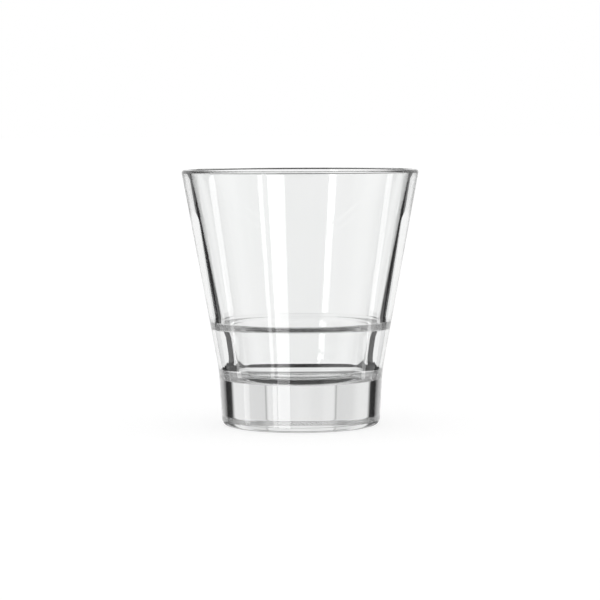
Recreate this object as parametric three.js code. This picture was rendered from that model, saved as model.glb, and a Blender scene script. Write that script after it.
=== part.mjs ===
// A heavy-bottomed tumbler, pressed in one piece of clear glass. Sizes are in millimetres, +Z is up,
// and the origin is the middle of the ring that the glass stands on.
import * as THREE from "three";

// Outside of the glass. The flared wall and the base are two straight cones that meet in a soft waist.
const RIM_DIAMETER = 98.4;
const HEIGHT = 105.9;
const BASE_DIAMETER = 65.6;
const WAIST_HEIGHT = 22.8;
const WAIST_RADIUS = 34.05;
const WAIST_BLEND = 70;
const HEEL_ROUNDING = 2.6;

// Underside: a flat ring carries the glass, and the middle is pushed up so that it can't rock.
const STAND_RING_WIDTH = 5;
const PUSH_UP = 0.9;

// Wall, measured level at the rim. Over the last stretch below the rim it thins towards a fire-polished lip.
const WALL_THICKNESS = 3.75;
const LIP_THICKNESS = 3.4;
const LIP_DEPTH = 18;
const LIP_BLEND = 150;
const LIP_OUTER_ROUNDING = 1.2;
const LIP_INNER_ROUNDING = 1.3;

// Inside: a flared bowl, a ledge that the base of the next glass sits on, and a narrower well below it.
// The clearance is the gap round the heel of the next glass when it sits on the ledge.
const STACKING_CLEARANCE = 0.2;
const LEDGE_HEIGHT = 42.4;
const LEDGE_DROP = 0.4;
const LEDGE_WIDTH = 3.35;
const LEDGE_FILLET = 2;
const LEDGE_NOSE = 1.8;
const FLOOR_THICKNESS = 18.8;
const WELL_TAPER = 0.17;
const WELL_CORNER = 6.5;

const SIDES = 72;
const ARC_STEP = THREE.MathUtils.degToRad(15);
const FEWEST_ARC_STEPS = 3;
const PUSH_UP_STEPS = 4;

const GLASS_COLOUR = 0xf4f7f7;
const GLASS_ROUGHNESS = 0.02;

const rimRadius = RIM_DIAMETER / 2;
const baseRadius = BASE_DIAMETER / 2;
const baseSlope = (WAIST_RADIUS - baseRadius) / WAIST_HEIGHT;
const seatRadius = baseRadius + baseSlope * HEEL_ROUNDING + STACKING_CLEARANCE;
const bowlTopRadius = rimRadius - WALL_THICKNESS;
const bowlSlope = (bowlTopRadius - seatRadius) / (HEIGHT - LEDGE_HEIGHT - HEEL_ROUNDING);
const ledgeRadius = seatRadius - bowlSlope * HEEL_ROUNDING;
const lipStartRadius = bowlTopRadius - bowlSlope * LIP_DEPTH;
const wellTopRadius = ledgeRadius - LEDGE_WIDTH;
const wellTop = LEDGE_HEIGHT - LEDGE_DROP;
const wellFloorRadius = wellTopRadius - WELL_TAPER * (wellTop - FLOOR_THICKNESS);

// A corner of the section: its radius and height before it is rounded, and how round it is.
function corner(radius, height, rounding) {
  return { at: new THREE.Vector2(radius, height), rounding };
}

// The points of the arc that rounds a corner, tangent to the lines from the corner to its two neighbours.
function roundedCorner(before, { at, rounding }, after) {
  const back = before.clone().sub(at).normalize();
  const ahead = after.clone().sub(at).normalize();
  const between = Math.acos(THREE.MathUtils.clamp(back.dot(ahead), -1, 1));
  const centre = back.clone().add(ahead).normalize();
  centre.multiplyScalar(rounding / Math.sin(between / 2)).add(at);
  const start = back.clone().multiplyScalar(rounding / Math.tan(between / 2)).add(at);
  const turn = Math.PI - between;
  const steps = Math.max(FEWEST_ARC_STEPS, Math.ceil(turn / ARC_STEP));
  const way = Math.sign(back.cross(ahead));
  const points = [];
  for (let i = 0; i <= steps; i += 1) {
    points.push(start.clone().rotateAround(centre, (-way * turn * i) / steps));
  }
  return points;
}

// The hollow under the base, from the middle out to the inner edge of the ring.
function pushUpPoints(ringInnerRadius) {
  const points = [];
  for (let i = 0; i < PUSH_UP_STEPS; i += 1) {
    const share = i / PUSH_UP_STEPS;
    points.push(new THREE.Vector2(ringInnerRadius * share, PUSH_UP * (1 - share * share)));
  }
  points.push(new THREE.Vector2(ringInnerRadius, 0));
  return points;
}

// Half of the section, from the axis under the base, up the outside, over the lip and down to the floor.
function tumblerSection() {
  const ringInner = baseRadius - HEEL_ROUNDING - STAND_RING_WIDTH;
  const floorCentre = new THREE.Vector2(0, FLOOR_THICKNESS);
  const underside = pushUpPoints(ringInner);
  const corners = [
    corner(baseRadius, 0, HEEL_ROUNDING),
    corner(WAIST_RADIUS, WAIST_HEIGHT, WAIST_BLEND),
    corner(rimRadius, HEIGHT, LIP_OUTER_ROUNDING),
    corner(rimRadius - LIP_THICKNESS, HEIGHT, LIP_INNER_ROUNDING),
    corner(lipStartRadius, HEIGHT - LIP_DEPTH, LIP_BLEND),
    corner(ledgeRadius, LEDGE_HEIGHT, LEDGE_FILLET),
    corner(wellTopRadius, wellTop, LEDGE_NOSE),
    corner(wellFloorRadius, FLOOR_THICKNESS, WELL_CORNER),
  ];
  const points = [...underside];
  corners.forEach((here, i) => {
    const before = i > 0 ? corners[i - 1].at : underside.at(-1);
    const after = i < corners.length - 1 ? corners[i + 1].at : floorCentre;
    points.push(...roundedCorner(before, here, after));
  });
  points.push(floorCentre);
  return points;
}

function tumbler() {
  const geometry = new THREE.LatheGeometry(tumblerSection(), SIDES);
  geometry.rotateX(Math.PI / 2);
  const glass = new THREE.MeshStandardMaterial({
    color: GLASS_COLOUR,
    roughness: GLASS_ROUGHNESS,
    metalness: 0,
  });
  const mesh = new THREE.Mesh(geometry, glass);
  mesh.name = "tumbler";
  return mesh;
}

const part = new THREE.Group();
part.name = "double_old_fashioned_glass";
part.add(tumbler());

export default part;
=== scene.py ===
import math

import bpy
from mathutils import Matrix, Vector


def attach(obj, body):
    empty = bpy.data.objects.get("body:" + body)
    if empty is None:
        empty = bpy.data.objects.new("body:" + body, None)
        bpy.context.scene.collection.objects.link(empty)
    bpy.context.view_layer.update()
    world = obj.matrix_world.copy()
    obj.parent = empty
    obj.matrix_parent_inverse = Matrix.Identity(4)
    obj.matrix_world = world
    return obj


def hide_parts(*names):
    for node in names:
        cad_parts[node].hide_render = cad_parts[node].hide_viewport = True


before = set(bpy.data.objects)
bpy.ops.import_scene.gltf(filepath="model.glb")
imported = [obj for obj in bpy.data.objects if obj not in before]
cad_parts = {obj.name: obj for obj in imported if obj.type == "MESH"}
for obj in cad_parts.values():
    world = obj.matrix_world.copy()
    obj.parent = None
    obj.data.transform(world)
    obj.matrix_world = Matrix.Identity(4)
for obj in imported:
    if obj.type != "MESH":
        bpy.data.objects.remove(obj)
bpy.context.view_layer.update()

# Sizes of the glass in metres, the same as in the part's source.
RIM_RADIUS = 0.0492
HEIGHT = 0.1059
BASE_RADIUS = 0.0328
WAIST_HEIGHT = 0.0228
WAIST_RADIUS = 0.03405
WAIST_BLEND = 0.070
HEEL_ROUNDING = 0.0026
STAND_RING_WIDTH = 0.005
PUSH_UP = 0.0009
WALL_THICKNESS = 0.00375
LIP_THICKNESS = 0.0034
LIP_DEPTH = 0.018
LIP_BLEND = 0.150
LIP_OUTER_ROUNDING = 0.0012
LIP_INNER_ROUNDING = 0.0013
STACKING_CLEARANCE = 0.0002
LEDGE_HEIGHT = 0.0424
LEDGE_DROP = 0.0004
LEDGE_WIDTH = 0.00335
LEDGE_FILLET = 0.002
LEDGE_NOSE = 0.0018
FLOOR_THICKNESS = 0.0188
WELL_TAPER = 0.17
WELL_CORNER = 0.0065

# Fineness of the turned mesh, and the radius in metres below which a point counts as on the axis.
SIDES = 256
ARC_STEP = math.radians(2.5)
LEAST_ARC_STEPS = 2
LINE_STEP = 0.0025
PUSH_UP_STEPS = 24
ON_AXIS_RADIUS = 1e-7

# The camera stands in front of the glass, a little above its rim.
IMAGE_SIDE = 600
SENSOR_WIDTH = 36.0
FOCAL_PIXELS = 2387.0
CAMERA_DISTANCE = 0.989
CAMERA_HEIGHT = 0.12296
CAMERA_PITCH = math.radians(4.122)
CAMERA_YAW = math.radians(0.0124)
CAMERA_ROLL = 0.0041

# The glass: clear soda-lime, hardly waved or tinted, and scuffed over its lowest fraction of a millimetre.
GLASS_IOR = 1.52
GLASS_ABSORPTION = 2.0
GLASS_TINT = (0.985, 0.995, 0.99, 1)
WAVE_SCALE = 25.0
WAVE_DEPTH = 0.000002
SCUFF_SCALE = 900.0
SCUFF_HEIGHT = 0.0003
SCUFF_ROUGHNESS = 0.3

# How often light may turn in the glass before it is given up.
LIGHT_BOUNCES = 64

WHITE = (1, 1, 1, 1)
BLACK = (0, 0, 0, 1)

# The room's light on matt surfaces, and the floor that the camera sees.
ROOM_GREY = (0.9, 0.9, 0.9, 1)
FLOOR_GREY = (0.35, 0.35, 0.35, 1)
FLOOR_GLOW = 0.72
FLOOR_HALF_SIDE = 30.0

# The floor lies a hair below the glass, so that light inside the glass meets the glass's own face first.
FLOOR_HEIGHT = -0.00005

# The studio that the glass shows, the same on both sides. Its lists give greys by degrees, which run round
# from straight behind the glass to the camera, or down from level.
HALF_TURN = 180
STRAIGHT_DOWN = 90

# The backdrop and the boards that stand round the glass.
HORIZON = [
    (0, 1.0), (3, 0.98), (6, 0.94), (34, 0.94), (44, 0.95), (46, 0.5), (48, 0.06),
    (52, 0.03), (59, 0.02), (62, 0.1), (67, 0.38), (74, 0.45), (80, 0.95), (100, 0.95),
    (106, 0.45), (116, 0.40), (119, 0.05), (134, 0.05), (140, 0.15), (180, 0.06),
]

# Panels that grey the sides of the backdrop, with a darker edge, and the elevations between which they begin.
SIDE_PANELS = [
    (0, 1.0), (16.7, 1.0), (17.2, 0.5), (17.8, 0.5), (18.3, 0.85), (28, 0.87), (34, 1.0),
    (180, 1.0),
]
PANEL_FOOT = (-6.0, -5.2)

# The gap between the foot of the backdrop and the edge of the table.
GAP = [(0, 0.03), (62, 0.03), (72, 0.9), (145, 0.9), (152, 0.04), (180, 0.04)]

# The table. Between these degrees round, it passes into its part towards the camera.
TABLE_GREY = (0.78, 0.78, 0.78, 1)
TABLE_FRONT = (145, 155)
TABLE_FRONT_GREYS = [(0, 0.85), (20, 0.84), (23, 0.50), (26, 0.12), (45, 0.10), (90, 0.30)]

# Where the backdrop and the table end, as the drop for each metre behind the glass. The table ends likewise
# in front of it.
BACKDROP_DROP = 0.240
TABLE_DROP = 0.390
EDGE_SOFTNESS = 0.004

# The ceiling, and the elevations between which the backdrop passes into it.
CEILING = [
    (0, 0.90), (50, 0.90), (88, 0.2), (96, 0.90), (136, 0.90), (140, 0.5), (165, 0.5),
    (170, 0.06), (180, 0.06),
]
BACKDROP_TOP = (28, 40)

# A dark bar across the backdrop: the elevations between which it begins and ends, and how far round it goes.
BAR_FOOT = (20, 21.5)
BAR_TOP = (26.5, 28)
BAR_ENDS = (24, 32)
BAR_GREY = (0.08, 0.08, 0.08, 1)

# The light overhead: the elevations between which it begins, and where it ends towards the camera, as the Y
# of the way to it.
OVERHEAD_LIGHT = (58, 64)
OVERHEAD_FRONT = (-0.50, -0.45)
OVERHEAD_GREY = (0.9, 0.9, 0.9, 1)

# The shadow that the glass shows under itself: greys by metres behind the axis.
SHADOW_RADIUS = 0.0475
SHADOW = [(0, 0.05), (0.031, 0.08), (0.038, 0.22), (0.044, 0.28), (0.0475, 0.18)]

# Pale cards and dark patches that the glass shows on the floor under and behind it, the same on both sides.
# The dark patches at the sides of the glass are painted shadow, carrying on from the painted shadow under it;
# those behind it are plain dark patches. Each has metres aside from and to, metres behind from and to, and
# the least and most slant of the rays that see it, from 0 for straight down to 1 for level. Other rays pass
# it by.
CARD_GREY = (0.92, 0.92, 0.92, 1)
CARDS = [
    (0, 0.035, 0.0485, 0.112, 0, 0.60),
    (0, 0.060, 0.112, 0.150, 0.50, 0.735),
    (0, 0.060, 0.150, 0.205, 0.50, 0.775),
    (0, 0.100, 0.0485, 0.180, 0, 0.50),
    (0, 0.0475, -0.0475, 0.0475, 0.525, 0.618),
]
# Near black: painted shadow at the sides of the glass, and dark patches behind it.
SHADE_AND_DARK_GREY = (0.02, 0.02, 0.02, 1)
SHADE_AND_DARK_PATCHES = [
    (0.030, 0.106, 0.030, 0.122, 0.70, 0.88),
    (0.030, 0.106, 0, 0.080, 0.65, 0.72),
    (0.106, 0.165, 0, 0.070, 0.66, 0.74),
    (0, 0.060, 0.110, 0.152, 0.735, 0.825),
    (0, 0.060, 0.165, 0.250, 0.38, 0.52),
    (0, 0.060, 0.215, 0.310, 0.52, 0.62),
    (0, 0.060, 0.285, 0.385, 0.62, 0.70),
    (0, 0.060, 0.372, 0.480, 0.70, 0.76),
]

# The blend at which a Layer Weight node's Facing is that slant.
SLANT_BLEND = 0.5

# Strip lights: degrees round from the camera's side, width, lowest and highest elevation, also in degrees,
# and radiance.
STRIP_DISTANCE = 20.0
STRIPS = [
    ("side_strip", -98, 9, -18.4, -13.5, 2.8),
    ("low_side_strip", -84, 10, -12.5, -5, 2.2),
    ("narrow_strip", -40.5, 4.8, -25.2, -18, 3.5),
    ("low_narrow_strip", -37.5, 6, -15, -8, 3.0),
    ("wide_strip", -24.2, 17.6, -34, 1, 4.0),
    ("high_narrow_strip", -37, 6.5, 9, 26, 5.0),
    ("right_strip", 99.5, 8, -18.2, -12.5, 2.6),
]

# The one strip that the far side of the glass shows too. The others appear on the near side alone.
STRIPS_ON_FAR_SIDE = ("high_narrow_strip",)


def rounded_corner(before, corner, after):
    """Points of the arc that rounds a corner of the section, between the lines to its two neighbours."""
    at = Vector(corner[:2])
    rounding = corner[2]
    back = (Vector(before) - at).normalized()
    ahead = (Vector(after) - at).normalized()
    between = back.angle(ahead)
    centre = at + (back + ahead).normalized() * (rounding / math.sin(between / 2))
    start = at + back * (rounding / math.tan(between / 2))
    turn = math.pi - between
    steps = max(LEAST_ARC_STEPS, math.ceil(turn / ARC_STEP))
    way = -1 if back.x * ahead.y - back.y * ahead.x > 0 else 1
    arm = start - centre
    points = []
    for i in range(steps + 1):
        spin = Matrix.Rotation(way * turn * i / steps, 2)
        points.append(centre + spin @ arm)
    return points


def with_lines_divided(points):
    """The same outline with extra points along its straight stretches."""
    divided = [points[0]]
    for here, there in zip(points, points[1:]):
        pieces = max(1, math.ceil((there - here).length / LINE_STEP))
        for i in range(1, pieces + 1):
            divided.append(here.lerp(there, i / pieces))
    return divided


def tumbler_section():
    """Half of the glass's section, from the axis underneath, round the outside and the lip, to the floor."""
    ring_inner = BASE_RADIUS - HEEL_ROUNDING - STAND_RING_WIDTH
    base_slope = (WAIST_RADIUS - BASE_RADIUS) / WAIST_HEIGHT
    seat_radius = BASE_RADIUS + base_slope * HEEL_ROUNDING + STACKING_CLEARANCE
    bowl_top_radius = RIM_RADIUS - WALL_THICKNESS
    bowl_slope = (bowl_top_radius - seat_radius) / (HEIGHT - LEDGE_HEIGHT - HEEL_ROUNDING)
    ledge_radius = seat_radius - bowl_slope * HEEL_ROUNDING
    lip_start_radius = bowl_top_radius - bowl_slope * LIP_DEPTH
    well_top_radius = ledge_radius - LEDGE_WIDTH
    well_top = LEDGE_HEIGHT - LEDGE_DROP
    well_floor_radius = well_top_radius - WELL_TAPER * (well_top - FLOOR_THICKNESS)
    floor_centre = Vector((0, FLOOR_THICKNESS))
    underside = []
    for i in range(PUSH_UP_STEPS + 1):
        share = i / PUSH_UP_STEPS
        underside.append(Vector((ring_inner * share, PUSH_UP * (1 - share * share))))
    corners = [
        (BASE_RADIUS, 0, HEEL_ROUNDING),
        (WAIST_RADIUS, WAIST_HEIGHT, WAIST_BLEND),
        (RIM_RADIUS, HEIGHT, LIP_OUTER_ROUNDING),
        (RIM_RADIUS - LIP_THICKNESS, HEIGHT, LIP_INNER_ROUNDING),
        (lip_start_radius, HEIGHT - LIP_DEPTH, LIP_BLEND),
        (ledge_radius, LEDGE_HEIGHT, LEDGE_FILLET),
        (well_top_radius, well_top, LEDGE_NOSE),
        (well_floor_radius, FLOOR_THICKNESS, WELL_CORNER),
    ]
    points = list(underside)
    for i, here in enumerate(corners):
        before = corners[i - 1][:2] if i else underside[-1]
        after = corners[i + 1][:2] if i + 1 < len(corners) else floor_centre
        points.extend(rounded_corner(before, here, after))
    points.append(floor_centre)
    return with_lines_divided(points)


def turned_mesh(name, section):
    """A closed mesh made by turning a section about the Z axis."""
    verts = []
    rings = []
    for point in section:
        if point.x < ON_AXIS_RADIUS:
            rings.append([len(verts)])
            verts.append((0, 0, point.y))
            continue
        ring = []
        for side in range(SIDES):
            angle = 2 * math.pi * side / SIDES
            ring.append(len(verts))
            verts.append((point.x * math.cos(angle), point.x * math.sin(angle), point.y))
        rings.append(ring)
    faces = []
    for low, high in zip(rings, rings[1:]):
        for side in range(SIDES):
            after = (side + 1) % SIDES
            if len(low) == 1:
                faces.append((low[0], high[after], high[side]))
            elif len(high) == 1:
                faces.append((low[side], low[after], high[0]))
            else:
                faces.append((low[side], low[after], high[after], high[side]))
    mesh = bpy.data.meshes.new(name)
    mesh.from_pydata(verts, [], faces)
    mesh.polygons.foreach_set("use_smooth", [True] * len(mesh.polygons))
    mesh.update()
    return mesh


def build_camera():
    data = bpy.data.cameras.new("camera")
    data.sensor_width = SENSOR_WIDTH
    data.lens = FOCAL_PIXELS * SENSOR_WIDTH / IMAGE_SIDE
    camera = bpy.data.objects.new("camera", data)
    bpy.context.scene.collection.objects.link(camera)
    camera.location = (0, -CAMERA_DISTANCE, CAMERA_HEIGHT)
    aim = Matrix.Rotation(CAMERA_YAW, 3, "Z") @ Matrix.Rotation(math.pi / 2 - CAMERA_PITCH, 3, "X")
    camera.rotation_euler = (aim @ Matrix.Rotation(-CAMERA_ROLL, 3, "Z")).to_euler()
    bpy.context.scene.camera = camera


class NodeTree:
    """Short calls for building a shader's nodes."""

    def __init__(self, owner):
        owner.use_nodes = True
        self.nodes = owner.node_tree.nodes
        self.links = owner.node_tree.links
        self.nodes.clear()

    def add(self, kind):
        return self.nodes.new("ShaderNode" + kind)

    def feed(self, socket, value):
        """Sets an input to a plain value, or links it to another node's output."""
        if isinstance(value, bpy.types.NodeSocket):
            self.links.new(value, socket)
        else:
            socket.default_value = value

    def math(self, operation, *values):
        node = self.add("Math")
        node.operation = operation
        for socket, value in zip(node.inputs, values):
            self.feed(socket, value)
        return node.outputs[0]

    def split(self, vector):
        """The X, Y and Z of a vector."""
        node = self.add("SeparateXYZ")
        self.links.new(vector, node.inputs[0])
        return node.outputs["X"], node.outputs["Y"], node.outputs["Z"]

    def mix(self, factor, low, high):
        """A colour between two others."""
        node = self.add("MixRGB")
        self.feed(node.inputs["Fac"], factor)
        self.feed(node.inputs["Color1"], low)
        self.feed(node.inputs["Color2"], high)
        return node.outputs["Color"]

    def mix_shaders(self, factor, low, high):
        """A shader between two others."""
        node = self.add("MixShader")
        self.links.new(factor, node.inputs[0])
        self.links.new(low, node.inputs[1])
        self.links.new(high, node.inputs[2])
        return node.outputs[0]

    def times(self, one, other):
        """Two colours multiplied."""
        node = self.add("MixRGB")
        node.blend_type = "MULTIPLY"
        node.inputs["Fac"].default_value = 1.0
        self.links.new(one, node.inputs["Color1"])
        self.links.new(other, node.inputs["Color2"])
        return node.outputs["Color"]

    def between(self, value, low, high):
        """1 where a value lies between two others, or is the low one, and 0 elsewhere."""
        return self.math("SUBTRACT", self.math("LESS_THAN", value, high), self.math("LESS_THAN", value, low))

    def step(self, value, low, high):
        """Rises smoothly from 0 at the low value to 1 at the high one."""
        node = self.add("MapRange")
        node.interpolation_type = "SMOOTHSTEP"
        self.feed(node.inputs["Value"], value)
        node.inputs["From Min"].default_value = low
        node.inputs["From Max"].default_value = high
        return node.outputs["Result"]

    def greys(self, value, stops, whole):
        """Looks a value up in a list of greys whose places run from 0 to the whole."""
        node = self.add("ValToRGB")
        ramp = node.color_ramp
        ramp.elements.remove(ramp.elements[-1])
        for i, (place, grey) in enumerate(stops):
            element = ramp.elements[0] if i == 0 else ramp.elements.new(place / whole)
            element.position = place / whole
            element.color = (grey, grey, grey, 1)
        self.feed(node.inputs["Fac"], self.math("DIVIDE", value, whole))
        return node.outputs["Color"]

    def noise(self, place, scale):
        """Soft noise between 0 and 1, with so many swells to the metre."""
        node = self.add("TexNoise")
        self.links.new(place, node.inputs["Vector"])
        node.inputs["Scale"].default_value = scale
        return node.outputs["Fac"]

    def through_glass(self):
        """1 for rays that a reflection or the glass has turned, 0 for the rest."""
        path = self.add("LightPath")
        return self.math("MAXIMUM", path.outputs["Is Glossy Ray"], path.outputs["Is Transmission Ray"])


def glass_material():
    """Clear glass with faint waves from the mould, a trace of tint, and scuffs where it stands."""
    material = bpy.data.materials.new("clear_glass")
    tree = NodeTree(material)
    coords = tree.add("TexCoord").outputs["Object"]
    waves = tree.noise(coords, WAVE_SCALE)
    scuffs = tree.noise(coords, SCUFF_SCALE)
    _, _, height = tree.split(coords)
    above_scuffs = tree.step(height, 0, SCUFF_HEIGHT)
    scuffed = tree.math("MULTIPLY", tree.math("SUBTRACT", 1.0, above_scuffs), scuffs)
    bump = tree.add("Bump")
    bump.inputs["Distance"].default_value = WAVE_DEPTH
    tree.links.new(waves, bump.inputs["Height"])

    shader = tree.add("BsdfPrincipled")
    shader.inputs["Transmission Weight"].default_value = 1.0
    shader.inputs["IOR"].default_value = GLASS_IOR
    tree.links.new(tree.mix(waves, WHITE, GLASS_TINT), shader.inputs["Base Color"])
    tree.links.new(tree.math("MULTIPLY", scuffed, SCUFF_ROUGHNESS), shader.inputs["Roughness"])
    tree.links.new(bump.outputs["Normal"], shader.inputs["Normal"])
    inside = tree.add("VolumeAbsorption")
    inside.inputs["Color"].default_value = BLACK
    inside.inputs["Density"].default_value = GLASS_ABSORPTION
    output = tree.add("OutputMaterial")
    tree.links.new(shader.outputs[0], output.inputs["Surface"])
    tree.links.new(inside.outputs[0], output.inputs["Volume"])
    return material


def build_tumbler():
    mesh = turned_mesh("tumbler_glass", tumbler_section())
    mesh.materials.append(glass_material())
    glass = bpy.data.objects.new("tumbler_glass", mesh)
    bpy.context.scene.collection.objects.link(glass)
    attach(glass, "root")
    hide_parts("tumbler")


def matt_shader(tree):
    """The floor as the camera sees it: pale and matt, with a glow of its own."""
    diffuse = tree.add("BsdfDiffuse")
    diffuse.inputs["Color"].default_value = FLOOR_GREY
    glow = tree.add("Emission")
    glow.inputs["Strength"].default_value = FLOOR_GLOW
    matt = tree.add("AddShader")
    tree.links.new(diffuse.outputs[0], matt.inputs[0])
    tree.links.new(glow.outputs[0], matt.inputs[1])
    return matt.outputs[0]


def on_any(tree, patches, aside, behind, slant):
    """1 where a ray sees one of the patches, 0 elsewhere."""
    seen = 0.0
    for aside_from, aside_to, behind_from, behind_to, least_slant, most_slant in patches:
        in_width = tree.between(aside, aside_from, aside_to)
        in_depth = tree.between(behind, behind_from, behind_to)
        in_slant = tree.between(slant, least_slant, most_slant)
        on_patch = tree.math("MULTIPLY", tree.math("MULTIPLY", in_width, in_depth), in_slant)
        seen = tree.math("MAXIMUM", seen, on_patch)
    return seen


def patches_shader(tree):
    """The floor as rays that leave the glass see it: painted shadow under and beside it, pale cards and dark
    patches, and clear between them.
    """
    position = tree.add("NewGeometry").outputs["Position"]
    across, behind, _ = tree.split(position)
    aside = tree.math("ABSOLUTE", across)
    facing = tree.add("LayerWeight")
    facing.inputs["Blend"].default_value = SLANT_BLEND
    slant = facing.outputs["Facing"]
    distance = tree.add("VectorMath")
    distance.operation = "LENGTH"
    tree.links.new(position, distance.inputs[0])

    in_shadow = tree.math("LESS_THAN", distance.outputs["Value"], SHADOW_RADIUS)
    on_card = on_any(tree, CARDS, aside, behind, slant)
    # The dark patches at the sides of the glass are painted shadow; those behind it are plain dark patches.
    on_shade_or_dark_patch = on_any(tree, SHADE_AND_DARK_PATCHES, aside, behind, slant)
    colour = tree.greys(behind, SHADOW, SHADOW_RADIUS)
    colour = tree.mix(on_shade_or_dark_patch, colour, SHADE_AND_DARK_GREY)
    colour = tree.mix(on_card, colour, CARD_GREY)
    patch = tree.add("Emission")
    tree.links.new(colour, patch.inputs["Color"])

    clear = tree.add("BsdfTransparent")
    path = tree.add("LightPath")
    on_patch = tree.math("MAXIMUM", tree.math("MAXIMUM", in_shadow, on_shade_or_dark_patch), on_card)
    seen = tree.math("MULTIPLY", on_patch, path.outputs["Is Transmission Ray"])
    return tree.mix_shaders(seen, clear.outputs[0], patch.outputs[0])


def floor_material():
    """Matt to the camera. Rays that leave the glass see patches on it, and reflected rays pass through it."""
    material = bpy.data.materials.new("pale_floor")
    tree = NodeTree(material)
    surface = tree.mix_shaders(tree.through_glass(), matt_shader(tree), patches_shader(tree))
    output = tree.add("OutputMaterial")
    tree.links.new(surface, output.inputs["Surface"])
    return material


def build_floor():
    half = FLOOR_HALF_SIDE
    mesh = bpy.data.meshes.new("floor")
    corners = [(-half, -half), (half, -half), (half, half), (-half, half)]
    mesh.from_pydata([(x, y, FLOOR_HEIGHT) for x, y in corners], [], [(0, 1, 2, 3)])
    mesh.materials.append(floor_material())
    floor = bpy.data.objects.new("floor", mesh)
    bpy.context.scene.collection.objects.link(floor)


def studio_colour(tree):
    """The studio round the glass, by the way that a ray goes."""
    way = tree.add("TexCoord").outputs["Generated"]
    across, behind, up = tree.split(way)
    turn = tree.math("ARCTAN2", across, behind)
    azimuth = tree.math("DEGREES", tree.math("ABSOLUTE", turn))
    elevation = tree.math("DEGREES", tree.math("ARCSINE", up))
    down = tree.math("MULTIPLY", elevation, -1)
    before_or_behind = tree.math("ABSOLUTE", behind)
    over_backdrop_edge = tree.math("ADD", up, tree.math("MULTIPLY", behind, BACKDROP_DROP))
    over_table_edge = tree.math("ADD", up, tree.math("MULTIPLY", before_or_behind, TABLE_DROP))

    panels = tree.greys(azimuth, SIDE_PANELS, HALF_TURN)
    panels = tree.mix(tree.step(elevation, *PANEL_FOOT), WHITE, panels)
    horizon = tree.times(tree.greys(azimuth, HORIZON, HALF_TURN), panels)
    gap = tree.greys(azimuth, GAP, HALF_TURN)
    table_front = tree.greys(down, TABLE_FRONT_GREYS, STRAIGHT_DOWN)
    table = tree.mix(tree.step(azimuth, *TABLE_FRONT), TABLE_GREY, table_front)
    ceiling = tree.greys(azimuth, CEILING, HALF_TURN)
    studio = tree.mix(tree.step(over_backdrop_edge, -EDGE_SOFTNESS, EDGE_SOFTNESS), gap, horizon)
    studio = tree.mix(tree.step(over_table_edge, -EDGE_SOFTNESS, EDGE_SOFTNESS), table, studio)
    studio = tree.mix(tree.step(elevation, *BACKDROP_TOP), studio, ceiling)

    in_bar_height = tree.math("SUBTRACT", tree.step(elevation, *BAR_FOOT), tree.step(elevation, *BAR_TOP))
    in_bar_length = tree.math("SUBTRACT", 1.0, tree.step(azimuth, *BAR_ENDS))
    studio = tree.mix(tree.math("MULTIPLY", in_bar_height, in_bar_length), studio, BAR_GREY)
    overhead = tree.mix(tree.step(behind, *OVERHEAD_FRONT), studio, OVERHEAD_GREY)
    return tree.mix(tree.step(elevation, *OVERHEAD_LIGHT), studio, overhead)


def build_world():
    """White to the camera, pale light on matt surfaces, and the studio for the glass to show."""
    world = bpy.data.worlds.new("studio")
    bpy.context.scene.world = world
    tree = NodeTree(world)
    path = tree.add("LightPath")
    colour = tree.mix(tree.through_glass(), ROOM_GREY, studio_colour(tree))
    colour = tree.mix(path.outputs["Is Camera Ray"], colour, WHITE)
    background = tree.add("Background")
    tree.links.new(colour, background.inputs["Color"])
    output = tree.add("OutputWorld")
    tree.links.new(background.outputs[0], output.inputs["Surface"])


def build_strips():
    """Strip lights to the left and right of the glass, which only the glass shows."""
    for name, azimuth, width_degrees, lowest, highest, radiance in STRIPS:
        width = 2 * STRIP_DISTANCE * math.tan(math.radians(width_degrees / 2))
        bottom = STRIP_DISTANCE * math.tan(math.radians(lowest))
        top = STRIP_DISTANCE * math.tan(math.radians(highest))
        data = bpy.data.lights.new(name, "AREA")
        data.shape = "RECTANGLE"
        data.size = width
        data.size_y = top - bottom
        data.energy = radiance * math.pi * width * (top - bottom)
        light = bpy.data.objects.new(name, data)
        bpy.context.scene.collection.objects.link(light)
        turn = math.radians(azimuth)
        outwards = Vector((math.sin(turn), -math.cos(turn), 0))
        light.location = outwards * STRIP_DISTANCE + Vector((0, 0, (top + bottom) / 2))
        light.rotation_euler = (-outwards).to_track_quat("-Z", "Y").to_euler()
        light.visible_camera = False
        light.visible_diffuse = False
        light.visible_transmission = name in STRIPS_ON_FAR_SIDE


build_camera()
build_tumbler()
build_floor()
build_world()
build_strips()

scene = bpy.context.scene
scene.view_settings.view_transform = "Standard"
scene.cycles.max_bounces = LIGHT_BOUNCES
scene.cycles.transmission_bounces = LIGHT_BOUNCES
scene.cycles.glossy_bounces = LIGHT_BOUNCES
